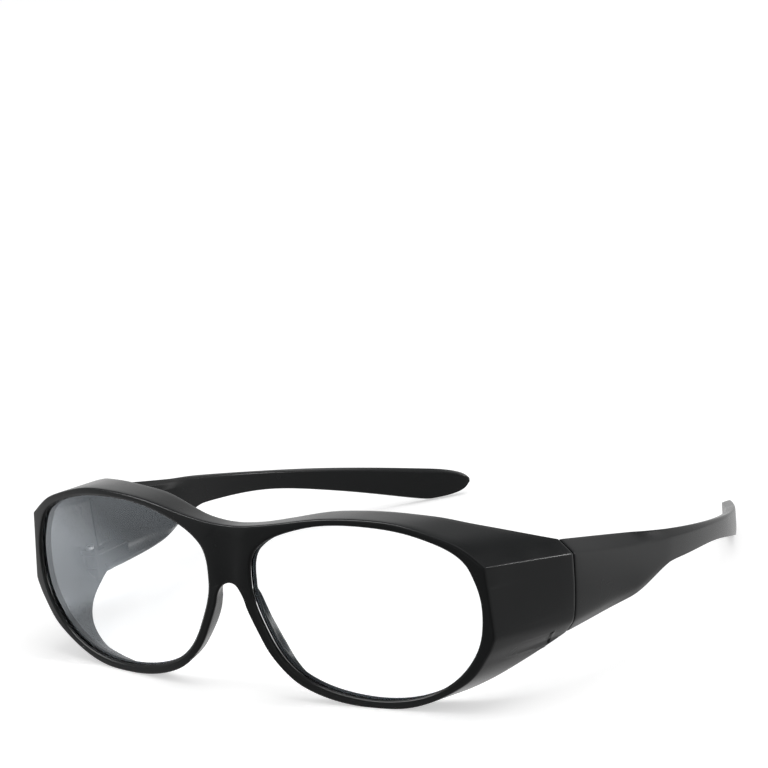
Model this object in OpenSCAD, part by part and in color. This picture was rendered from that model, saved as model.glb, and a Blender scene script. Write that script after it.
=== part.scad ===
// Fit-over glasses with two oval lenses: a moulded front with side shields, and two folding temples.
// X runs across the face, towards the wearer's left. Y runs from the lenses to the ears. Z is up.
// The glasses stand open on the undersides of the rims and of the temple tips, at Z = 0.

/* [Lens openings] */
// Width of one lens opening
lens_w = 60.7; // [54:0.1:66]
// Height of one lens opening
lens_h = 42.6; // [36:0.1:48]
// Smallest gap between the two openings
nose_gap = 12.8; // [11:0.1:18]
// Thickness of a lens
lens_t = 1.8; // [1.2:0.1:2.2]
// How far a lens reaches into its groove
groove_d = 0.8; // [0.5:0.1:1]
// Clearance between a lens and its groove
lens_clear = 0.1; // [0.05:0.05:0.2]

/* [Front] */
// Rim width over the lens
rim_top = 1.9; // [1.7:0.1:4]
// Rim width under the lens
rim_bottom = 2.2; // [1.7:0.1:4]
// Rim width beside the nose
rim_nose = 2.7; // [1.9:0.1:4]
// Rim width at the side
rim_side = 2.8; // [2.2:0.1:5]
// Thickness of the front lip that holds the lens
lip_t = 1; // [0.8:0.1:1.4]
// Thickness of the rim behind the lens
back_t = 0.7; // [0.5:0.1:1.2]
// Wall thickness of the brow ledge, the side shields and the temples
wall = 1.7; // [1.4:0.1:2.2]
// Thickness of the ledge and of the walls round the lens at their rear edge
rear_t = 0.7; // [0.6:0.1:1.4]
// Turn of each half of the face at the nose, in degrees
wrap = 3.1; // [0:0.1:8]
// Radius of each half of the face, seen from above
face_r = 385; // [250:5:900]
// Lean of the face towards the wearer, in degrees
lean = 1.6; // [0:0.1:6]

/* [Bridge] */
// Height of the bridge's top edge over the floor
bridge_top = 42.3; // [38:0.1:46]
// Height of the nose arch over the floor
arch_top = 27.8; // [24:0.1:32]
// Width of the hollowed panel at its top
panel_top_w = 10.4; // [7:0.1:11]
// Width of the hollowed panel at its foot
panel_foot_w = 6.6; // [5:0.1:8]
// Depth of the hollow in the middle of the panel
panel_d = 0.7; // [0.2:0.1:1.2]

/* [Walls behind the face] */
// Depth of the ledge at the bridge
ledge_bridge = 5.8; // [4.6:0.1:9]
// Depth of the ledge over the middle of the lens
ledge_brow = 9; // [5:0.1:12]
// Depth of the nose flange
nose_depth = 6.1; // [4.6:0.1:9]
// How far the nose flange flares away from the nose
nose_flare = 1.5; // [0.5:0.1:3]
// Least depth of the wall under the lens
sill_depth = 4.3; // [4.3:0.1:7]
// Depth of the wall under the middle of the lens
cheek_depth = 6.4; // [5:0.1:11]
// Distance from the bridge back to the temple seam
seam_y = 38.1; // [33:0.1:45]
// How far the shield stands out at the seam, past the face's edge
splay = 5; // [3:0.1:8]
// Height of the ledge's inner edge at the seam, over the floor
seam_top = 35; // [32:0.1:38]
// Height of the shield at the seam
seam_h = 23.5; // [20:0.1:27]
// Width of the sloped ledge at the seam
seam_ledge = 3.9; // [2:0.1:5]
// Drop of the sloped ledge at the seam
seam_drop = 3.3; // [2:0.1:5]
// Gap between the shield and the temple
seam_gap = 0.15; // [0.1:0.05:0.4]

/* [Temples] */
// Distance from the bridge to the tips of the temples
temple_end = 159.1; // [145:0.1:170]
// Where the temple starts to bend inwards, from the bridge
bend_start = 77; // [66:0.5:90]
// Radius of the inward bend
bend_r = 115; // [90:1:160]
// Angle of the inward bend
bend_angle = 36; // [15:0.5:38]
// Thickness of the temple arm
arm_t = 2.7; // [2:0.1:4]
// Height of the arm where it is slimmest
arm_waist = 5.5; // [4.5:0.1:8]
// Height of the arm after the step down from the shield
arm_step = 8.2; // [6:0.1:10]
// Height of the temple tip
tip_h = 8.7; // [7:0.1:11]
// Where the shield's lower edge starts to sweep up, from the bridge
sweep_start = 63; // [56:0.5:69]
// Where the sweep ends in the arm
sweep_end = 81; // [78:0.5:90]

/* [Hinges] */
// Distance of the hinge screw ahead of the seam
pin_ahead = 6.2; // [4.5:0.1:7]
// Distance of the hinge screw from the shield's outermost wall, inwards
pin_inset = 5.2; // [4.5:0.1:6]
// Radius of the screw's shank
pin_r = 0.7; // [0.5:0.05:0.9]
// Radial clearance of the shank in its bores
pin_clear = 0.05; // [0.02:0.01:0.1]
// Radius of the screw's head
head_r = 1; // [0.9:0.05:1.3]
// Height of the screw's head
head_h = 0.7; // [0.5:0.1:1.2]
// Radius of the tongue's knuckle
knuckle_r = 1.9; // [1.6:0.1:2.2]
// Radius of the small hole under the screw, through the curled lip
pilot_r = 0.5; // [0.4:0.05:0.6]
// Length of the screw's thread in the lower ear
thread_l = 2.2; // [1.5:0.1:2.6]
// Height of the tongue
tongue_h = 3.3; // [2.2:0.1:4]
// Height of the tongue's underside over the floor
tongue_z = 15; // [14:0.1:16]
// Gap above and under the tongue
tongue_gap = 0.1; // [0.05:0.05:0.3]
// Thickness of the upper ear
ear_t = 1.4; // [1.2:0.1:3]

/* [Hidden] */

half_w = lens_w / 2;
half_h = lens_h / 2;
eye = [nose_gap / 2 + half_w, rim_bottom + 0.99 * half_h - 0.05];
edge = 0.35;
lip_bevel = 0.45;
step = 0.01;
back_rise = 0.5;
groove_w = lens_t + 2 * lens_clear;
face_t = lip_t + groove_w + back_t;
end_x = eye[0] + half_w + rim_side + splay;
seam_bottom = seam_top - seam_h;
shield = seam_y - face_y(eye[0] + half_w, eye[1]);

// Smooth curves through a few keys

// Slope of keys [[t, value], ...] at key i
function slope(k, i) = let (a = max(i - 1, 0), b = min(i + 1, len(k) - 1))
    (k[b][1] - k[a][1]) / (k[b][0] - k[a][0]);
function span(k, t, i = 0) = i >= len(k) - 2 || t < k[i + 1][0] ? i : span(k, t, i + 1);
// Value at t of the smooth curve through the keys; a value is a number or a point
function curve(k, t) = let (
    i = span(k, t), h = k[i + 1][0] - k[i][0], s = (t - k[i][0]) / h,
    u = slope(k, i) * h, v = slope(k, i + 1) * h)
    k[i][1] * (2 * s ^ 3 - 3 * s ^ 2 + 1) + u * (s ^ 3 - 2 * s ^ 2 + s)
    + k[i + 1][1] * (3 * s ^ 2 - 2 * s ^ 3) + v * (s ^ 3 - s ^ 2);
function mix(a, b, t) = a + (b - a) * t;
function ease(t) = let (s = min(max(t, 0), 1)) s * s * (3 - 2 * s);
function unit(v) = v / norm(v);

// The lens opening

// Reach of the opening round the eye's centre, as a share of an ellipse, by angle from the temple side
reach = [[0, 0.998], [20, 1.037], [39, 1.092], [60, 1.04], [88, 0.997], [118, 1.05], [146, 1.124],
         [167, 1.02], [196, 0.93], [231, 0.982], [262, 0.991], [303, 1.035], [338, 1.006]];
reach_round = concat([for (k = reach) [k[0] - 360, k[1]]], reach, [for (k = reach) [k[0] + 360, k[1]]]);
function opening(a) = let (r = curve(reach_round, a)) eye + r * [half_w * cos(a), half_h * sin(a)];
// Outward normal of the opening
function out(a) = let (d = opening(a + 1) - opening(a - 1)) unit([d[1], -d[0]]);

// The face

// Front surface of the face, before the panel is hollowed
function face_y(x, z) = abs(x) * tan(wrap) + x * x / (2 * face_r) + (z - arch_top) * tan(lean);
function panel_half(z) = let (share = max((z - arch_top) / (bridge_top - arch_top), -0.2))
    mix(panel_foot_w, panel_top_w, share) / 2;
// Depth of the hollow: nothing at the panel's creases, most in the middle
function hollow(x, z) = let (s = abs(x) / panel_half(z)) s < 1 ? panel_d * (1 - s * s) : 0;

// Where the crisp upper corner and the lower corner of the side lie, as angles round the eye
corner_angle = 33;
lower_angle = 349;
corner = [eye[0] + half_w + rim_side - 1.1, seam_top + 1];
lower_corner = [eye[0] + half_w + rim_side + 0.2, seam_bottom + 7.3];
function rimmed(a, w) = opening(a) + w * out(a);

// Angles at which the outline meets the middle plane, at the bridge's top and at the nose arch
top_angle = 147;
arch_angle = 165;
// Outer edge of the face over the lens, from the upper corner to the bridge
brow_keys = [
    [corner_angle, corner],
    [40, rimmed(40, rim_top + 0.65)],
    [50, rimmed(50, rim_top + 0.2)],
    [70, rimmed(70, rim_top + 0.2)],
    [90, rimmed(90, rim_top)],
    [110, rimmed(110, rim_top)],
    [130, rimmed(130, rim_top + 1.15)],
    [140, [8.2, bridge_top + 0.7]],
    [144, [3.4, bridge_top + 0.1]],
    [top_angle, [0, bridge_top]],
    [top_angle + 3, [-3.4, bridge_top + 0.1]]];
// Outer edge of the face from the nose arch under the lens to the lower corner
under_keys = [
    [arch_angle - 4, [-2.4, arch_top - 0.9]],
    [arch_angle, [0, arch_top]],
    [169, [2.4, arch_top - 0.9]],
    [174, [nose_gap / 2 - 2.4, arch_top - 3.5]],
    [180, rimmed(180, rim_nose + 0.3)],
    [195, rimmed(195, rim_nose)],
    [215, rimmed(215, rim_nose - 0.2)],
    [235, rimmed(235, rim_nose - 0.2)],
    [260, rimmed(260, rim_bottom)],
    [290, rimmed(290, rim_bottom - 0.1)],
    [320, rimmed(320, rim_bottom + 0.25)],
    [340, rimmed(340, mix(rim_bottom, rim_side, 1.3))],
    [lower_angle, lower_corner]];
// Face edge at any angle round the eye; straight in the middle plane and at the side
function face_at(a) =
    a >= corner_angle && a <= top_angle ? curve(brow_keys, a)
    : a > top_angle && a < arch_angle
        ? [0, mix(bridge_top, arch_top, (a - top_angle) / (arch_angle - top_angle))]
    : a >= arch_angle && a <= lower_angle ? curve(under_keys, a)
    : mix(lower_corner, corner,
        ((a > lower_angle ? a : a + 360) - lower_angle) / (corner_angle + 360 - lower_angle));

// Rear edge of the walls

// Side profile shared by the shields and the temples, as offsets from the outermost wall and from the
// top: a sloped ledge, then a wall that curls under. t runs from the ledge's inner edge down to the lip.
function profile(t, h, ledge, drop, curl) =
    t <= 1 ? mix([0 - ledge, 0], [0, 0 - drop], t)
    : curve([
        [1, [0, 0 - drop]],
        [2, [-0.3 * curl, -0.5 * h]],
        [3, [-1.2 * curl, min(0.19 * seam_h * mix(0.4, 1, curl), 0.3 * h) - h]],
        [4, [-2.4 * curl, min(0.09 * seam_h * mix(0.4, 1, curl), 0.14 * h) - h]],
        [5, [-4.2 * curl, 0 - h]]], t);
function at_seam(t) = let (p = profile(t, seam_h, seam_ledge, seam_drop, 1))
    [end_x + p[0], seam_y, seam_top + p[1]];
// Rear point behind a face point: as deep as said, and moved out from the eye or in
function behind(a, depth, lift) = let (f = face_at(a), p = f + lift * out(a))
    [p[0], face_y(f[0], f[1]) + depth, p[1]];
function ahead_of_seam(back, x, z) = [end_x - x, seam_y - back, seam_bottom + z];
function ahead_of_ledge(back, x, z) = [end_x - seam_ledge - x, seam_y - back, seam_top + z];

// Rear edge of the ledge, from its corner at the seam to the bridge
ledge_angle = corner_angle + 0.8;
ledge_keys = [
    [ledge_angle, at_seam(0)],
    [36, ahead_of_ledge(1.4, 1.1, 0.6)],
    [39, ahead_of_ledge(4, 2.8, 1.8)],
    [42.5, ahead_of_ledge(7, 5.2, 3.2)],
    [46, ahead_of_ledge(9.7, 7.9, 4.5)],
    [50, ahead_of_ledge(12.5, 11, 5.85)],
    [55, ahead_of_ledge(15.7, 15, 7.4)],
    [61, behind(61, mix(ledge_brow, shield, 0.22), -0.85)],
    [70, behind(70, mix(ledge_brow, shield, 0.125), -0.9)],
    [82, behind(82, mix(ledge_brow, shield, 0.05), -0.6)],
    [95, behind(95, ledge_brow, -0.4)],
    [112, behind(112, ledge_brow, -0.4)],
    [130, behind(130, mix(ledge_brow, ledge_bridge, 0.6), -0.4)],
    [140, [8.2, face_y(8.2, bridge_top) + ledge_bridge, bridge_top + 0.2]],
    [144, [3.4, face_y(0, bridge_top) + ledge_bridge, bridge_top - 0.3]],
    [top_angle, [0, face_y(0, bridge_top) + ledge_bridge, bridge_top - 0.4]],
    [top_angle + 3, [-3.4, face_y(0, bridge_top) + ledge_bridge, bridge_top - 0.3]]];
// Rear edge from the nose arch down the nose flange, under the lens and up to the seam
lip_angle = 334;
sill_keys = [
    [arch_angle - 4, [-3.4, sill_depth, arch_top]],
    [arch_angle, [0, sill_depth, arch_top + 0.3]],
    [169, [3.3, mix(sill_depth, nose_depth, 0.2), arch_top - 0.2]],
    [174, [nose_gap / 2 - 1, mix(sill_depth, nose_depth, 0.5), arch_top - 2.3]],
    [180, behind(180, mix(sill_depth, nose_depth, 0.75), -1.15 * nose_flare)],
    [192, behind(192, nose_depth, -0.85 * nose_flare)],
    [210, behind(210, nose_depth, 0 - nose_flare)],
    [225, behind(225, mix(sill_depth, nose_depth, 0.6), -0.6 * nose_flare)],
    [242, behind(242, sill_depth, -0.2)],
    [256, behind(256, mix(sill_depth, cheek_depth, 0.4), 0)],
    [272, behind(272, cheek_depth, 0)],
    [290, behind(290, cheek_depth + 1.2, 0)],
    [300, behind(300, mix(cheek_depth, shield, 0.11), 0.9)],
    [310, ahead_of_seam(18.6, 14.2, -7)],
    [320, ahead_of_seam(12.4, 9.3, -4)],
    [328, ahead_of_seam(5.6, 6.1, -1.7)],
    [lip_angle, at_seam(5)]];
function rear_at(a) =
    a >= ledge_angle && a <= top_angle ? curve(ledge_keys, a)
    : a > top_angle && a < arch_angle
        ? let (f = face_at(a)) [0, face_y(0, f[1]) + face_t + back_rise, f[1]]
    : a >= arch_angle && a <= lip_angle ? curve(sill_keys, a)
    : a >= corner_angle && a < ledge_angle ? at_seam((ledge_angle - a) / (ledge_angle - corner_angle))
    : a > lip_angle && a <= 352 ? at_seam(mix(5, 2.6, (a - lip_angle) / (352 - lip_angle)))
    : at_seam(mix(2.6, 1, ((a > 352 ? a : a + 360) - 352) / (corner_angle + 360 - 352)));

// Angles of the moulding's ribs: close where it bends, and a pair at each crisp corner
stations = concat(
    [corner_angle, corner_angle + 0.4, ledge_angle, 36, 38, 40.5, 43, 46, 49, 52.5],
    [for (a = [56.5 : 5.5 : 128]) a], [132, 136, 139, 142],
    [for (k = [0 : 2]) mix(145, top_angle, k / 2)],
    [for (k = [0.08, 0.25, 0.5, 0.75, 0.92]) mix(top_angle, arch_angle, k)],
    [for (k = [0 : 4]) mix(arch_angle, 173, k / 4)], [176],
    [for (a = [180 : 5 : 260]) a], [for (a = [265 : 5 : 330]) a],
    [lip_angle, 336.5, 339, 341.5, 344, 346.5, lower_angle, 352],
    [for (a = [356.5 : 4.5 : 387]) a], [390.6]);
function wrapped(a) = a >= 360 ? a - 360 : a;
// Inward direction of the rear edge, in the plane of the face
function rear_in(a) =
    a > top_angle && a < arch_angle ? [1, 0]
    : a == top_angle ? [0.5, -0.87]
    : a == arch_angle ? [0.5, 0.87]
    : let (p = rear_at(wrapped(a + 359)), q = rear_at(wrapped(a + 1))) unit([p[2] - q[2], q[0] - p[0]]);

// Inward direction of the face's outer edge, square to it; beside the side's straight edge, as said
function edge_in(a, beside) = let (
    k = a > corner_angle + 1 && a <= top_angle ? brow_keys
        : a >= arch_angle && a < lower_angle - 1 ? under_keys
        : [])
    len(k) == 0 ? beside : let (t = curve(k, a + 0.5) - curve(k, a - 0.5)) unit([0 - t[1], t[0]]);

// One rib of the moulding, as a closed outline: the lip, the lens groove, the wall and its end
function rib(a) = let (
    middle = a >= top_angle && a <= arch_angle,
    f = face_at(a), p = opening(a), n = out(a), r = rear_at(a), rn = rear_in(a),
    w = norm(p - f), d = (p - f) / w,
    e = middle && a > top_angle && a < arch_angle ? 0 : edge,
    crease = f[0] < panel_half(f[1]) && d[0] > 0
        ? min((panel_half(f[1]) - f[0]) / d[0], w - lip_bevel - 0.3)
        : w / 2,
    at = function (q, depth) [q[0], face_y(q[0], q[1]) + hollow(q[0], q[1]) + depth, max(q[1], 0)],
    wall_in = f + d * min(w - 0.3, wall),
    rear = [r[0], r[2]],
    re = a == top_angle || a == arch_angle ? [0, sign(rn[1])] : rn,
    thick = a < 60 ? mix(wall, rear_t, ease((a - ledge_angle) / 20))
        : a > 300 ? mix(rear_t, wall, ease((a - 308) / (lip_angle - 308))) : rear_t,
    end = function (reach, back) let (q = rear + reach) [max(q[0], 0), r[1] - back, max(q[1], 0)])
    [
        at(f, edge),
        at(f + edge_in(a, d) * e, 0),
        at(f + d * mix(e, crease, 0.5), 0),
        at(f + d * crease, 0),
        at(p + n * lip_bevel, 0),
        at(p, lip_bevel),
        at(p, lip_t),
        at(p + n * groove_d, lip_t),
        at(p + n * groove_d, lip_t + groove_w),
        at(p, lip_t + groove_w),
        at(p, face_t),
        at(wall_in, face_t + step),
        end(rn * thick, step),
        end(re * e, 0),
        end([0, 0], edge),
    ];

// Skin over a row of outlines that close on themselves, such as the ribs round a lens
module ring_loft(rows) {
    n = len(rows);
    m = len(rows[0]);
    polyhedron(
        points = [for (row = rows) for (p = row) p],
        faces = [for (i = [0 : n - 1]) for (j = [0 : m - 1])
            let (a = i * m + j, b = i * m + (j + 1) % m,
                 c = ((i + 1) % n) * m + (j + 1) % m, d = ((i + 1) % n) * m + j)
            each [[a, b, c], [a, c, d]]],
        convexity = 10);
}

// Skin over a row of outlines with an end cap on each. An outline runs along its outer side and back
// along its inner side, with as many points on both.
module bar_loft(rows) {
    n = len(rows);
    m = len(rows[0]);
    polyhedron(
        points = [for (row = rows) for (p = row) p],
        faces = concat(
            [for (i = [0 : n - 2]) for (j = [0 : m - 1])
                let (a = i * m + j, b = i * m + (j + 1) % m,
                     c = (i + 1) * m + (j + 1) % m, d = (i + 1) * m + j)
                each [[a, c, b], [a, d, c]]],
            [for (j = [0 : m / 2 - 2]) each [[j, j + 1, m - 2 - j], [j, m - 2 - j, m - 1 - j]]],
            [for (j = [0 : m / 2 - 2]) let (e = (n - 1) * m)
                each [[e + j, e + m - 2 - j, e + j + 1], [e + j, e + m - 1 - j, e + m - 2 - j]]]),
        convexity = 10);
}

// The hinge's place and levels
pin_x = end_x - pin_inset;
pin_y = seam_y - pin_ahead;
ear_low = tongue_z - tongue_gap;
ear_high = tongue_z + tongue_h + tongue_gap;
head_z = ear_high + ear_t;
bore_r = pin_r + pin_clear;

// Upright round bar on the hinge's axis
module on_axis(r, z1, z2) {
    translate([pin_x, pin_y, z1]) cylinder(r = r, h = z2 - z1, $fn = 48);
}

// Solid foot inside the curled lip, under the tongue; raised by as much as said
module lip_block(y1, y2, raised) {
    translate([0, y2, 0]) rotate([90, 0, 0]) linear_extrude(y2 - y1)
        polygon([
            [end_x - 4.4, seam_bottom + 0.7 + raised],
            [end_x - 3.6, seam_bottom + 1.5 + raised],
            [end_x - 2.8 - 0.9 * raised, ear_low - 0.07],
            [end_x - 4.4, ear_low - 0.07]]);
}

// Lower ear: a block for the screw's thread that stands on the inner side of the curled lip
module lower_ear() {
    a = lip_angle - 6;
    b = lip_angle - 14;
    rise = (rear_at(a)[2] - rear_at(b)[2]) / (rear_at(a)[1] - rear_at(b)[1]);
    lip_z = rear_at(a)[2] + (pin_y - rear_at(a)[1]) * rise;
    hull() {
        on_axis(knuckle_r, ear_low - 1.3, ear_low);
        translate([pin_x - knuckle_r / 2, pin_y, lip_z + wall])
            cylinder(r = knuckle_r / 2, h = 0.3, $fn = 48);
    }
}

module half_front() {
    difference() {
        union() {
            ring_loft([for (a = stations) rib(wrapped(a))]);
            lower_ear();
            hull() {
                lip_block(pin_y, pin_y + 0.3, 1);
                lip_block(seam_y - 0.4, seam_y - 0.1, 0);
            }
            on_axis(knuckle_r, ear_high, ear_high + ear_t);
            translate([pin_x, pin_y - knuckle_r, ear_high]) cube([end_x - 2 - pin_x, 2 * knuckle_r, ear_t]);
        }
        on_axis(knuckle_r + 0.2, ear_low, ear_high);
        on_axis(bore_r, ear_low - thread_l - 0.1, ear_high + ear_t + 1);
        on_axis(pilot_r, 0, ear_low);
    }
}

module front_frame() {
    color([0.06, 0.06, 0.065]) {
        half_front();
        mirror([1, 0, 0]) half_front();
    }
}

// Lens

lens_steps = [1, 0.75, 0.5, 0.25];
lens_angles = [for (a = [0 : 6 : 354]) a];
function lens_point(a, share, depth) = let (
    q = mix(eye, opening(a) + out(a) * (groove_d - lens_clear), share))
    [q[0], face_y(q[0], q[1]) + lip_t + lens_clear + depth, q[1]];

// One lens: a bent sheet as thick as said, its edge in the groove
module lens() {
    n = len(lens_angles);
    rings = concat([for (k = [0 : 3]) [lens_steps[3 - k], 0]], [for (k = [0 : 3]) [lens_steps[k], lens_t]]);
    m = len(rings);
    color([0.75, 0.83, 0.88, 0.45])
        polyhedron(
            points = concat(
                [for (a = lens_angles) for (k = rings) lens_point(a, k[0], k[1])],
                [lens_point(0, 0, 0), lens_point(0, 0, lens_t)]),
            faces = [for (i = [0 : n - 1]) let (j = (i + 1) % n) each concat(
                [[i * m, n * m, j * m], [(i + 1) * m - 1, (j + 1) * m - 1, n * m + 1]],
                [for (k = [0 : m - 2]) each [
                    [i * m + k, j * m + k + 1, i * m + k + 1],
                    [i * m + k, j * m + k, j * m + k + 1]]])],
            convexity = 6);
}

// Temple

bend_s = bend_start + bend_r * bend_angle * PI / 180;
bend_end = bend_start + bend_r * sin(bend_angle);
temple_s = bend_s + (temple_end - bend_end) / cos(bend_angle);
tip_s = temple_s - 11;
// Point at u outwards of the temple's outer line, at length s along it and height z
function along(s, u, z) = let (
    b = min(max((s - bend_start) / bend_r * 180 / PI, 0), bend_angle),
    straight = s < bend_start ? s - bend_start : max(s - bend_s, 0),
    r = bend_r + u)
    [end_x - bend_r + r * cos(b) - straight * sin(b), bend_start + r * sin(b) + straight * cos(b), z];

function top_z(s) = let (u = (s - seam_y) / (tip_s - seam_y))
    mix(seam_top, tip_h, u) - 2.8 * u * (1 - u);
arm_keys = [[sweep_end, arm_step], [sweep_end + 24, arm_waist],
            [sweep_end + 46, mix(arm_waist, tip_h, 0.32)], [tip_s, tip_h + 0.5], [temple_s, tip_h + 0.8]];
function low_z(s) =
    s < sweep_start ? seam_bottom + 0.5 * ((s - seam_y) / (sweep_start - seam_y)) ^ 2
    : s < sweep_end ? mix(seam_bottom + 0.5, top_z(sweep_end) - arm_step,
        ease((s - sweep_start) / (sweep_end - sweep_start)))
    : top_z(s) - curve(arm_keys, s);
temple_t = [0, 1, 1.5, 2, 2.5, 3, 3.5, 4, 4.5, 5];

// Section of the temple at length s: a curled channel beside the shield, a flat bar further back
function temple_rib(s) = let (
    bar = ease((s - sweep_start + 8) / (sweep_end - sweep_start + 8)),
    f = s > tip_s ? (1 - min((s - tip_s) / (temple_s - tip_s), 0.993) ^ 2.6) ^ (1 / 2.6) : 1,
    top = s > tip_s ? mix(tip_h / 2 - 0.5, top_z(s), f) : top_z(s),
    low = max(s > tip_s ? mix(tip_h / 2 - 0.5, 0, f) : low_z(s), 0),
    h = top - low,
    ledge_share = 1 - 0.9 * ease((s - 48) / 80),
    ledge = min(seam_ledge * ledge_share, arm_t * mix(2, 0.45, bar)),
    drop = min(seam_drop * ledge_share, 0.3 * h),
    curl = mix(mix(1, 0.8, (s - seam_y) / (sweep_start - seam_y)), 0.1, bar),
    outer = [for (t = temple_t) profile(t, h, ledge, drop, curl)],
    n = len(outer),
    thick = arm_t * mix(0.5, 1, f),
    inner = [for (i = [0 : n - 1]) let (
        d = unit(outer[min(i + 1, n - 1)] - outer[max(i - 1, 0)]),
        channel = outer[i] + wall * [d[1], 0 - d[0]],
        flat = [0 - thick, min(max(outer[i][1], -0.93 * h), -0.07 * h)])
        mix(channel, flat, bar)])
    concat(
        [for (i = [0 : n - 1]) along(s, outer[i][0], top + outer[i][1])],
        [for (i = [n - 1 : -1 : 0]) along(s, inner[i][0], top + inner[i][1])]);

temple_stations = concat(
    [seam_y + seam_gap], [for (k = [1 : 3]) mix(seam_y, sweep_start, k / 4)],
    [for (k = [0 : 8]) mix(sweep_start, sweep_end, k / 8)],
    [for (k = [1 : 11]) mix(sweep_end, tip_s, k / 12)], [tip_s - 1.5],
    [for (k = [0 : 7]) mix(tip_s, temple_s, sin(k * 90 / 7))]);

module temple() {
    color([0.06, 0.06, 0.065])
        difference() {
            union() {
                bar_loft([for (s = temple_stations) temple_rib(s)]);
                on_axis(knuckle_r, tongue_z, tongue_z + tongue_h);
                translate([pin_x - 1.7, pin_y, tongue_z]) cube([2.1, seam_y + 7 - pin_y, tongue_h]);
                translate([pin_x - 1.7, seam_y + seam_gap, tongue_z])
                    cube([end_x - 2.5 - pin_x + 1.7, 7 - seam_gap, tongue_h]);
                lip_block(seam_y + seam_gap, seam_y + 5.5, 0);
            }
            on_axis(bore_r, tongue_z - 1, tongue_z + tongue_h + 1);
        }
}

// Hinge screw, put in from above

module hinge_screw() {
    color([0.6, 0.6, 0.62])
        difference() {
            union() {
                on_axis(head_r, head_z + 0.02, head_z + 0.02 + head_h);
                on_axis(pin_r, ear_low - thread_l, head_z + 0.02 + head_h / 2);
            }
            translate([pin_x - 2, pin_y - 0.15, head_z + 0.02 + 0.55 * head_h]) cube([4, 0.3, head_h]);
        }
}

module placed(side) {
    mirror([side < 0 ? 1 : 0, 0, 0]) children();
}

centre_y = temple_end / 2;
module in_place() {
    translate([0, 0 - centre_y, 0]) children();
}

in_place() front_frame();
in_place() placed(-1) lens();  // lens_right
in_place() placed(1) lens();  // lens_left
in_place() placed(-1) temple();  // temple_right
in_place() placed(1) temple();  // temple_left
in_place() placed(-1) hinge_screw();  // hinge_screw_right
in_place() placed(1) hinge_screw();  // hinge_screw_left
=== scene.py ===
# %% [markdown]
# Fit-over glasses, dressed in Blender.
#
# The real object is a pair of large oval glasses that is worn over other glasses. A moulded black
# front holds two clear lenses and carries a brow ledge and two deep side shields. Two moulded
# temples fold behind it on steel screws. The measured solids come in as a frame, so this lesson
# is about what a solid can't say: soft edges, the plastic's fine grain, clear lenses and light.

# %% Load the measured frame
import math

import bmesh
import bpy
from mathutils import Matrix, Vector


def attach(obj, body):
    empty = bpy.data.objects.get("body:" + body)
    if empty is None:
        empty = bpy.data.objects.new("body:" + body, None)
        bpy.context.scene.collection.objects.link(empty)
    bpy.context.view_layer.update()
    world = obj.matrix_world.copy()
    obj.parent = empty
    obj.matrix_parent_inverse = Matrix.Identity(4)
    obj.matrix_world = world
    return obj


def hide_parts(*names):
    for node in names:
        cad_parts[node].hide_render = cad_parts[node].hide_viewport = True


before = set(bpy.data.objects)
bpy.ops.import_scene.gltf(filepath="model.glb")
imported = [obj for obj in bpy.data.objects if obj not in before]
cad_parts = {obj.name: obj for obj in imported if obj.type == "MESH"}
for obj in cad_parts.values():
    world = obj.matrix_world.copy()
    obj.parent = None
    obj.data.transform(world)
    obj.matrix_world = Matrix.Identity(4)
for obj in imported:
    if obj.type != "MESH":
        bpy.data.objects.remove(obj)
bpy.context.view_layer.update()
MM = 0.001
print("solids:", sorted(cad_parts))

# %% [markdown]
# The camera stands where the photographer's stood for the three-quarter view: to the wearer's
# left, a little above, and just over a metre away. It is turned a little about its own axis too.
# A long lens keeps the far temple from shrinking too much. The picture could be shifted in the
# lens, but turning the camera puts the glasses in the same place, and it suits other views too.

# %% Set the camera
CAMERA_PLACE = Vector((615.91, -821.82, 330.07)) * MM
CAMERA_ROUND = math.radians(37.187)
CAMERA_RAISED = math.radians(14.915)
CAMERA_ROLL = math.radians(-5.652)
LENS_LENGTH = 197.4
SENSOR_WIDTH = 36

long_lens = bpy.data.cameras.new("camera")
long_lens.sensor_width = SENSOR_WIDTH
long_lens.lens = LENS_LENGTH
camera = bpy.data.objects.new("camera", long_lens)
bpy.context.scene.collection.objects.link(camera)
camera.matrix_world = (Matrix.Translation(CAMERA_PLACE)
                       @ Matrix.Rotation(CAMERA_ROUND, 4, "Z")
                       @ Matrix.Rotation(math.pi / 2 - CAMERA_RAISED, 4, "X")
                       @ Matrix.Rotation(CAMERA_ROLL, 4, "Z"))
bpy.context.scene.camera = camera
print("camera is", round(CAMERA_PLACE.length, 3), "m from the glasses, lens", LENS_LENGTH, "mm")

# %% [markdown]
# Black plastic shows its shape only by what it mirrors, so a product photographer surrounds it
# with white. A sky that is bright enough to look white would also fall on the glasses and fade
# their shadow. So the sky lights them at a plain level, and the next cell makes it white for
# whatever looks at it.

# %% Add the sky
SKY_LEVEL = 0.42
WHITE = (1, 1, 1, 1)

sky = bpy.data.worlds.new("sky")
sky.use_nodes = True
sky_tree = sky.node_tree
sky_light = sky_tree.nodes["Background"]
sky_light.inputs["Color"].default_value = WHITE
sky_light.inputs["Strength"].default_value = SKY_LEVEL
bpy.context.scene.world = sky
print("level at which the sky lights the glasses:", SKY_LEVEL)

# %% [markdown]
# The Light Path node tells what kind of ray asks for a colour. Rays from the camera, from mirrors
# and through clear plastic get white. All others carry light to the glasses and get the plain
# level. The answers are joined with Math nodes. They could be wired one by one, but the backdrop
# needs many, so a helper makes each.

# %% Make the sky white where it is seen


def worked(tree, operation, first, second):
    """One Math node. Each input is a socket or a plain number."""
    node = tree.nodes.new("ShaderNodeMath")
    node.operation = operation
    for place, value in enumerate((first, second)):
        if isinstance(value, (int, float)):
            node.inputs[place].default_value = value
        else:
            tree.links.new(value, node.inputs[place])
    return node.outputs[0]


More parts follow.
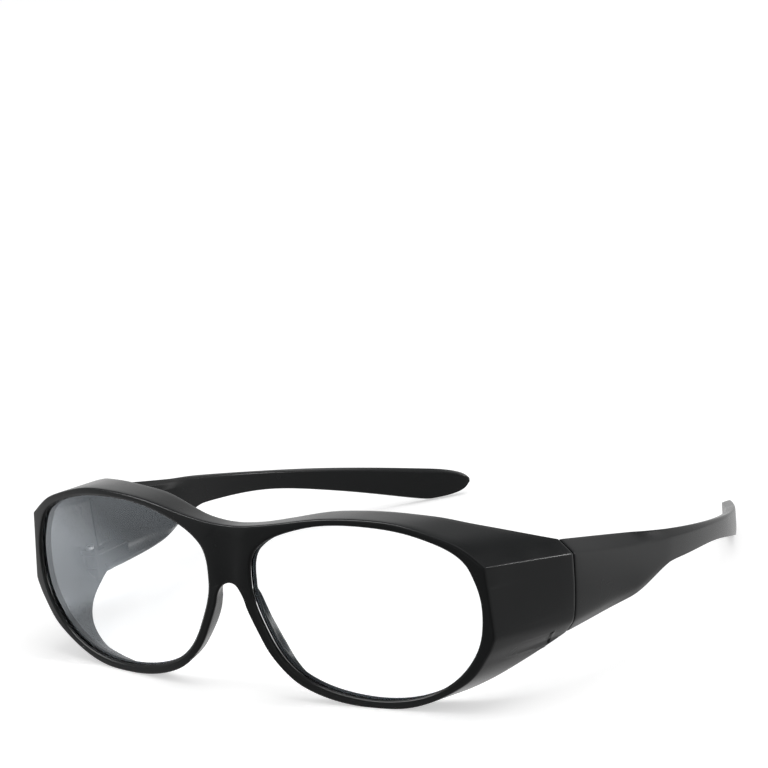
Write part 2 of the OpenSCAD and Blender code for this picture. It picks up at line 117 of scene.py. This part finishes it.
def white_where_seen(tree):
    """1 for rays from the camera, a mirror or clear plastic, and 0 for others."""
    path = tree.nodes.new("ShaderNodeLightPath")
    reflected = path.outputs["Is Glossy Ray"]
    passed = path.outputs["Is Transmission Ray"]
    by_surface = worked(tree, "MAXIMUM", reflected, passed)
    return worked(tree, "MAXIMUM", path.outputs["Is Camera Ray"], by_surface)


raised = worked(sky_tree, "MULTIPLY", white_where_seen(sky_tree), 1 - SKY_LEVEL)
plain_sky = worked(sky_tree, "ADD", raised, SKY_LEVEL)
print("nodes in the sky:", len(sky_tree.nodes))

# %% [markdown]
# A studio isn't white all round: its ceiling is dim, the floor before the camera lies in shade,
# and the floor to the left and behind is lit. Real cards could make these zones, but they would
# show from other sides. So each zone has a level of its own that only mirrors see. A ray that
# merely passes through clear plastic counts as glossy too, but its glossy depth is zero, and
# that tells it from a ray that a mirror turned.

# %% Write the helpers for zones in mirrors


def in_mirrors(tree, inside, outside):
    """The value inside for a ray that a mirror turned, and outside for every other ray."""
    path = tree.nodes.new("ShaderNodeLightPath")
    turned = worked(tree, "MINIMUM", path.outputs["Glossy Depth"], 1)
    mirrored = worked(tree, "MULTIPLY", path.outputs["Is Glossy Ray"], turned)
    change = worked(tree, "MULTIPLY", worked(tree, "SUBTRACT", inside, outside), mirrored)
    return worked(tree, "ADD", change, outside)


def fade(tree, value, start, end):
    """Goes smoothly from 0, where value is start, to 1, where it is end. Either may be larger."""
    node = tree.nodes.new("ShaderNodeMapRange")
    node.interpolation_type = "SMOOTHSTEP"
    node.inputs["From Min"].default_value = min(start, end)
    node.inputs["From Max"].default_value = max(start, end)
    node.inputs["To Min"].default_value = float(start > end)
    node.inputs["To Max"].default_value = float(start < end)
    tree.links.new(value, node.inputs["Value"])
    return node.outputs["Result"]


def zoned(tree, zones):
    """1, but the level of a zone where all the fades of that zone are 1."""
    share = 1
    for level, fades in zones:
        change = level - 1
        for faded in fades:
            change = worked(tree, "MULTIPLY", faded, change)
        share = worked(tree, "ADD", change, share)
    return share


def coordinates(tree, kind):
    """The X, Y and Z sockets of the texture coordinates that are called kind."""
    where = tree.nodes.new("ShaderNodeTexCoord")
    parts = tree.nodes.new("ShaderNodeSeparateXYZ")
    tree.links.new(where.outputs[kind], parts.inputs[0])
    return parts.outputs


print("helpers for zones:", [helper.__name__ for helper in (in_mirrors, fade, zoned, coordinates)])

# %% [markdown]
# The ceiling is the part of the sky overhead. A dim panel could hang there, but it would also
# shade the glasses. In a world, Generated coordinates give the direction that a ray looks in, so
# their Z tells how steeply it looks up, and the sky fades with that.

# %% Dim the ceiling in mirrors
CEILING_LEVEL = 0.2
CEILING_STARTS = 0.2
CEILING_FULL = 0.6

steepness = coordinates(sky_tree, "Generated")["Z"]
overhead = fade(sky_tree, steepness, CEILING_STARTS, CEILING_FULL)
ceiling = zoned(sky_tree, [(CEILING_LEVEL, [overhead])])
sky_strength = worked(sky_tree, "MULTIPLY", plain_sky, in_mirrors(sky_tree, ceiling, 1))
sky_tree.links.new(sky_strength, sky_light.inputs["Strength"])
print("nodes in the sky:", len(sky_tree.nodes))

# %% [markdown]
# The glasses stand on a wide sheet of white paper. A curved backdrop would hide the horizon, but
# a flat floor under a sky of the same white does that too, from every side.

# %% Lay the floor
FLOOR_HALF_SIDE = 6

sheet = bmesh.new()
bmesh.ops.create_grid(sheet, x_segments=1, y_segments=1, size=FLOOR_HALF_SIDE)
floor_mesh = bpy.data.meshes.new("floor")
sheet.to_mesh(floor_mesh)
sheet.free()
floor = bpy.data.objects.new("floor", floor_mesh)
bpy.context.scene.collection.objects.link(floor)
print("floor is", 2 * FLOOR_HALF_SIDE, "m wide")

# %% [markdown]
# The paper has a pale colour and a glow that only rays which look at it get, so it is white there
# and still shows the soft shadow. Mirrors get the glow alone, at the level of each zone: light
# that bounces off the paper into a lens is hard to sample and would show as speckle.

# %% Paint the floor
FLOOR_COLOUR = 0.86
FLOOR_ROUGHNESS = 0.8


def new_material(name):
    """A material with its node tree and its main shader."""
    material = bpy.data.materials.new(name)
    material.use_nodes = True
    tree = material.node_tree
    return material, tree, tree.nodes["Principled BSDF"]


floor_white, floor_tree, paper = new_material("floor_white")
floor_tree.links.new(in_mirrors(floor_tree, 0, FLOOR_COLOUR), paper.inputs["Base Color"])
paper.inputs["Roughness"].default_value = FLOOR_ROUGHNESS
paper.inputs["Specular IOR Level"].default_value = 0
paper.inputs["Emission Color"].default_value = WHITE
floor.data.materials.append(floor_white)
print("floor's own colour:", FLOOR_COLOUR)

# %% [markdown]
# Each zone of the floor has its level in mirrors and its fades: an axis, and two places in metres.
# The shade before the camera runs aslant, so its axis is X with a share of Y. Patches of paper in
# other greys could lie there instead, but then the camera would see them too.

# %% Lay out the zones of the floor
FLOOR_GLOW = 0.54
SLANT = 0.35
FLOOR_ZONES = {
    "shade before the camera": (0.45, [("slant", -0.27, -0.15), ("y", -0.085, -0.1)]),
    "light on the left": (2.6, [("y", -0.155, -0.115), ("x", -0.085, -0.11), ("y", -0.04, -0.06)]),
    "light behind": (1.7, [("y", 0, 0.05), ("x", 0.06, 0.1)]),
}


def floor_levels(tree):
    """The level at which mirrors see each place of the floor."""
    place = coordinates(tree, "Object")
    slant = worked(tree, "ADD", place["X"], worked(tree, "MULTIPLY", place["Y"], SLANT))
    axes = {"x": place["X"], "y": place["Y"], "slant": slant}
    zones = []
    for level, borders in FLOOR_ZONES.values():
        zones.append((level, [fade(tree, axes[axis], start, end) for axis, start, end in borders]))
    return zoned(tree, zones)


glow = in_mirrors(floor_tree, floor_levels(floor_tree), FLOOR_GLOW)
seen_glow = worked(floor_tree, "MULTIPLY", white_where_seen(floor_tree), glow)
floor_tree.links.new(seen_glow, paper.inputs["Emission Strength"])
print("zones of the floor:", list(FLOOR_ZONES))

# %% [markdown]
# One large soft box overhead gives the soft shadow. A sun lamp with a wide angle would do nearly
# the same, but an area lamp has a real size and distance, as the photographer's box has.

# %% Hang the soft box


def add_soft_box(name, toward, along, distance, length, width, power):
    """An area lamp in the direction toward, aimed at the glasses, with its long side along.

    It shines and is mirrored, but it doesn't show through the lenses.
    """
    lamp = bpy.data.lights.new(name, "AREA")
    lamp.shape = "RECTANGLE"
    lamp.size = width
    lamp.size_y = length
    lamp.energy = power
    holder = bpy.data.objects.new(name, lamp)
    bpy.context.scene.collection.objects.link(holder)
    out = Vector(toward).normalized()
    side = Vector(along).cross(out).normalized()
    turn = Matrix((side, out.cross(side), out)).transposed().to_4x4()
    holder.matrix_world = Matrix.Translation(out * distance) @ turn
    holder.visible_transmission = False
    return holder


soft_box = add_soft_box("soft_box_top", toward=(0.09, 0.14, 1), along=(0, 1, 0), distance=1.1,
                        length=1.0, width=1.0, power=4.5)
print(soft_box.name, "gives", soft_box.data.energy, "W")

# %% [markdown]
# Two long strips draw the thin bright lines on rounded edges: one above the brow and one behind
# the near shield. A strip stands where the middle of its edge mirrors it to the camera. Lines
# could be painted along the edges, but they would stay there from every side. Strips would throw
# hard shadows on the floor, so light linking keeps them off it, and they light the glasses alone.

# %% Add the strip lights


def keep_off_floor(holder):
    """Shades the floor from a lamp, which then lights the glasses alone."""
    shaded = bpy.data.collections.new(f"{holder.name}_shaded")
    shaded.objects.link(floor)
    holder.light_linking.receiver_collection = shaded
    shaded.collection_objects[0].light_linking.link_state = "EXCLUDE"


brow_strip = add_soft_box("strip_brow", toward=(-0.42, -0.44, 0.83), along=(0.85, -0.1, 0.45),
                          distance=1.2, length=1.0, width=0.28, power=24)
rear_strip = add_soft_box("strip_rear", toward=(0.63, 0.64, 0.42), along=(0.5, -0.15, -0.8),
                          distance=1.2, length=0.5, width=0.16, power=13)
for strip in (brow_strip, rear_strip):
    keep_off_floor(strip)
    print(strip.name, "gives", strip.data.energy, "W and leaves the floor alone")

# %% [markdown]
# The solids arrive as loose triangles with knife edges. Moulded plastic has neither. Each part
# could be modelled again by hand, but the solids have the right shapes already. So a copy of each
# is merged, and its triangles are joined to quads, which take a bevel and a subdivision evenly.

# %% Copy a solid and join its triangles
MERGE_WITHIN = 0.002 * MM
JOIN_BEND = math.radians(20)
JOIN_SKEW = math.radians(60)


def joined_copy(node, name):
    """A copy of a solid's mesh, and its form with corners merged and triangles joined."""
    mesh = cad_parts[node].data.copy()
    mesh.name = name
    mesh.materials.clear()
    form = bmesh.new()
    form.from_mesh(mesh)
    bmesh.ops.remove_doubles(form, verts=form.verts, dist=MERGE_WITHIN)
    bmesh.ops.dissolve_degenerate(form, edges=form.edges, dist=MERGE_WITHIN)
    bmesh.ops.join_triangles(form, faces=form.faces, angle_face_threshold=JOIN_BEND,
                             angle_shape_threshold=JOIN_SKEW)
    return mesh, form


print("corners closer than", MERGE_WITHIN / MM, "mm become one")

# %% [markdown]
# Steel moulds are cut with small radii, because plastic flows badly into sharp corners and cracks
# there. A bevel of one width would cut through narrow faces. The modifier can clamp its width,
# but then one narrow face takes the radius from the whole part. So each edge gets a weight that
# shrinks its radius to the room beside it. An edge that meets its end nearly in line with it only
# runs on, so that one takes no room.

# %% Measure the room beside an edge
EDGE_RADIUS = 0.36 * MM
IN_LINE_COSINE = 0.8


def room_beside(edge):
    """The least width of the two faces beside an edge, and of the edges that meet its ends."""
    start, end = (corner.co for corner in edge.verts)
    run = (end - start).normalized()
    room = math.inf
    for face in edge.link_faces:
        reaches = [corner.co - start for corner in face.verts if corner not in edge.verts]
        room = min([room] + [(reach - reach.dot(run) * run).length for reach in reaches])
    for corner in edge.verts:
        for other in corner.link_edges:
            line = other.other_vert(corner).co - corner.co
            if other != edge and abs(line.normalized().dot(run)) < IN_LINE_COSINE:
                room = min(room, line.length)
    return room


print("full radius of an edge:", EDGE_RADIUS / MM, "mm")

# %% [markdown]
# Edges that bend little belong to smooth curves and stay as they are. The others get their weight
# for the bevel. Edges that are crisp on the real piece, such as those of a lens's rim, are marked
# sharp too, and a crease can hold them when the piece is subdivided.

# %% Make a piece with weighed edges
BEVEL_FROM = math.radians(28)
SHARE_OF_ROOM = 0.42
NEVER = 180


def moulded_copy(node, name, crisp_degrees=NEVER, crease=0):
    """A new piece with a solid's shape. Edges that turn by more than crisp_degrees stay crisp."""
    mesh, form = joined_copy(node, name)
    held = form.edges.layers.float.new("crease_edge")
    radius_share = form.edges.layers.float.new("bevel_weight_edge")
    for edge in form.edges:
        bend = edge.calc_face_angle(0)
        crisp = bend > math.radians(crisp_degrees)
        edge.smooth = not crisp
        edge[held] = crease if crisp else 0
        if bend > BEVEL_FROM:
            edge[radius_share] = min(1, SHARE_OF_ROOM * room_beside(edge) / EDGE_RADIUS)
    for face in form.faces:
        face.smooth = True
    form.to_mesh(mesh)
    form.free()
    piece = bpy.data.objects.new(name, mesh)
    bpy.context.scene.collection.objects.link(piece)
    return piece


print("edges that turn by more than", round(math.degrees(BEVEL_FROM)), "degrees get a radius")

# %% [markdown]
# The radius itself comes from a Bevel modifier that follows the weights, and a Subdivision
# modifier smooths the strips between. Both could be applied, but as modifiers they stay easy to
# change. The bevel doesn't clamp, because the weights do that, and it doesn't slide along loops,
# because sliding pushes a corner out at the foot of each shield.

# %% Soften a piece
BEVEL_SEGMENTS = 2


def soften(piece, levels):
    """Rounds a piece's weighed edges and subdivides it."""
    corners = piece.modifiers.new("corners", "BEVEL")
    corners.limit_method = "WEIGHT"
    corners.use_clamp_overlap = False
    corners.loop_slide = False
    corners.width = EDGE_RADIUS
    corners.segments = BEVEL_SEGMENTS
    rounding = piece.modifiers.new("rounding", "SUBSURF")
    rounding.levels = levels
    rounding.render_levels = levels
    return piece


print("segments across each rounded edge:", BEVEL_SEGMENTS)

# %% [markdown]
# All finishes start from noise on object coordinates, so that the pattern stays with the piece
# when it folds. A painted image could do the same, but it needs an unwrapped mesh.

# %% Write the helpers for finishes
NOISE_LOW = 0.3
NOISE_HIGH = 0.7


def noise(tree, scale, detail, stretch=(1, 1, 1)):
    """A cloudy pattern, with about scale clouds to the metre."""
    where = tree.nodes.new("ShaderNodeTexCoord")
    scaled = tree.nodes.new("ShaderNodeMapping")
    scaled.inputs["Scale"].default_value = stretch
    tree.links.new(where.outputs["Object"], scaled.inputs["Vector"])
    pattern = tree.nodes.new("ShaderNodeTexNoise")
    pattern.inputs["Scale"].default_value = scale
    pattern.inputs["Detail"].default_value = detail
    tree.links.new(scaled.outputs["Vector"], pattern.inputs["Vector"])
    return pattern.outputs["Fac"]


def between(tree, factor, low, high):
    """Maps a noise, which stays about between NOISE_LOW and NOISE_HIGH, to low and high."""
    mapped = tree.nodes.new("ShaderNodeMapRange")
    mapped.inputs["From Min"].default_value = NOISE_LOW
    mapped.inputs["From Max"].default_value = NOISE_HIGH
    mapped.inputs["To Min"].default_value = low
    mapped.inputs["To Max"].default_value = high
    tree.links.new(factor, mapped.inputs["Value"])
    return mapped.outputs["Result"]


def grain(tree, shader, factor, depth, strength):
    """Lets a shader's surface rise and fall with a pattern, by depth in metres."""
    bump = tree.nodes.new("ShaderNodeBump")
    bump.inputs["Strength"].default_value = strength
    bump.inputs["Distance"].default_value = depth
    tree.links.new(factor, bump.inputs["Height"])
    tree.links.new(bump.outputs["Normal"], shader.inputs["Normal"])


print("helpers for finishes:", [helper.__name__ for helper in (noise, between, grain)])

# %% [markdown]
# The black is a satin injection-moulded plastic. The mould is blasted, so the surface has a very
# fine grain that spreads its reflections, and a faint unevenness in gloss where it cooled. The
# grain could be real displacement, but at two thousandths of a millimetre a bump looks the same.
# The shine is set low, because a blasted surface mirrors less of a bright studio than a polished
# one. Colour and shine are plain values on the shader.

# %% Make the black plastic
BLACK = (0.0058, 0.0062, 0.0064, 1)
SATIN_SHINE = 0.12
GLOSSIEST = 0.22
DULLEST = 0.28
PORE_DEPTH = 0.002 * MM

frame_black, black_tree, black_shader = new_material("frame_black")
black_shader.inputs["Base Color"].default_value = BLACK
black_shader.inputs["Specular IOR Level"].default_value = SATIN_SHINE
gloss = between(black_tree, noise(black_tree, scale=90, detail=3), GLOSSIEST, DULLEST)
black_tree.links.new(gloss, black_shader.inputs["Roughness"])
pores = noise(black_tree, scale=700, detail=3)
grain(black_tree, black_shader, pores, PORE_DEPTH, strength=0.2)
print("plastic:", frame_black.name)

# %% [markdown]
# The front is one moulding: both rims, the hollowed bridge, the nose flanges, the brow ledge and
# the side shields with the hinge ears inside them. It could be rebuilt from curves and lofts, but
# its solid is measured, so its softened copy stands in. The solid is fine already. One level of
# subdivision smooths it, and a second one would make four times as many triangles.

# %% Dress the front
front = soften(moulded_copy("front_frame", "front_moulding"), levels=1)
front.data.materials.append(frame_black)
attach(front, "front")
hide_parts("front_frame")
print("front faces:", len(front.data.polygons))

# %% [markdown]
# Each temple starts as a curled channel as high as the shield, steps down to a slim bar and ends
# in a rounded tip. Its tongue reaches between the ears of the front. It could be a curve with a
# bevel, but then the step and the tongue would have to be added to it. It has far fewer faces
# than the front, so it takes two levels of subdivision.

# %% Dress the temples
for side in ("left", "right"):
    arm = soften(moulded_copy(f"temple_{side}", f"arm_{side}"), levels=2)
    arm.data.materials.append(frame_black)
    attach(arm, f"temple_{side}")
    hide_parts(f"temple_{side}")
    print(arm.name, "faces:", len(arm.data.polygons))

# %% [markdown]
# The lenses are clear. What shows of them is the faint reflection of their two faces, which veils
# the dark parts behind them with a bluish grey. Grey plastic would give that veil too, but it
# would also dull the white floor, so the reflection does the work and the body of the lens has
# only a trace of colour.

# %% Make the clear lens plastic
BLUER = (0.97, 0.985, 1, 1)
CLEARER = (0.99, 0.995, 1, 1)
VEIL_TINT = (0.76, 0.88, 1, 1)
LENS_BENDING = 1.49

lens_clear, lens_tree, lens_shader = new_material("lens_clear")
tint = lens_tree.nodes.new("ShaderNodeMix")
tint.data_type = "RGBA"
tint.inputs["A"].default_value = BLUER
tint.inputs["B"].default_value = CLEARER
clouds = between(lens_tree, noise(lens_tree, scale=30, detail=3), 0, 1)
lens_tree.links.new(clouds, tint.inputs["Factor"])
lens_tree.links.new(tint.outputs["Result"], lens_shader.inputs["Base Color"])
lens_shader.inputs["Transmission Weight"].default_value = 1
lens_shader.inputs["IOR"].default_value = LENS_BENDING
lens_shader.inputs["Roughness"].default_value = 0
lens_shader.inputs["Specular Tint"].default_value = VEIL_TINT
print("lens plastic:", lens_clear.name)

# %% [markdown]
# Each lens is a curved sheet that sits in the groove of its rim. A plane with a Solidify modifier
# could make it, but the copy of the solid fits the groove. The edges of its rim are marked as
# crisp, so the shading of the two clear faces doesn't run over into the rim.

# %% Dress the lenses
LENS_CRISP_DEGREES = 30

for side in ("left", "right"):
    lens = moulded_copy(f"lens_{side}", f"clear_lens_{side}", LENS_CRISP_DEGREES, crease=1)
    soften(lens, levels=1)
    lens.data.materials.append(lens_clear)
    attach(lens, "front")
    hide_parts(f"lens_{side}")
    print(lens.name, "faces:", len(lens.data.polygons))

# %% [markdown]
# The hinge screws are turned from steel, and the lathe leaves fine rings on them. A wave pattern
# would make rings that are too even. Noise that is drawn out across the screw and squeezed along
# its axis makes uneven ones, for the gloss and the bump alike.

# %% Make the turned steel
STEEL = (0.56, 0.565, 0.58, 1)
ACROSS = 0.15
ALONG = 6
BRIGHT_RINGS = 0.24
DULL_RINGS = 0.42
RING_DEPTH = 0.01 * MM

screw_steel, steel_tree, steel_shader = new_material("screw_steel")
steel_shader.inputs["Base Color"].default_value = STEEL
steel_shader.inputs["Metallic"].default_value = 1
rings = noise(steel_tree, scale=900, detail=2, stretch=(ACROSS, ACROSS, ALONG))
ring_gloss = between(steel_tree, rings, BRIGHT_RINGS, DULL_RINGS)
steel_tree.links.new(ring_gloss, steel_shader.inputs["Roughness"])
grain(steel_tree, steel_shader, rings, RING_DEPTH, strength=0.4)
print("steel:", screw_steel.name)

# %% [markdown]
# A screw has a slotted head and a plain shank. It could be spun from a profile, but the slot
# would have to be cut afterwards. The copy of the solid is round enough without subdivision, and
# its turned edges stay sharp.

# %% Dress the screws
SCREW_CRISP_DEGREES = 26

for side in ("left", "right"):
    screw = moulded_copy(f"hinge_screw_{side}", f"screw_{side}", SCREW_CRISP_DEGREES)
    screw.data.set_sharp_from_angle(angle=math.radians(SCREW_CRISP_DEGREES))
    screw.data.materials.append(screw_steel)
    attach(screw, "front")
    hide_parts(f"hinge_screw_{side}")
    print(screw.name, "faces:", len(screw.data.polygons))

# %% [markdown]
# The render must show colours about as they are written, so the view transform is the plain one.

# %% Set the view
bpy.context.scene.view_settings.view_transform = "Standard"
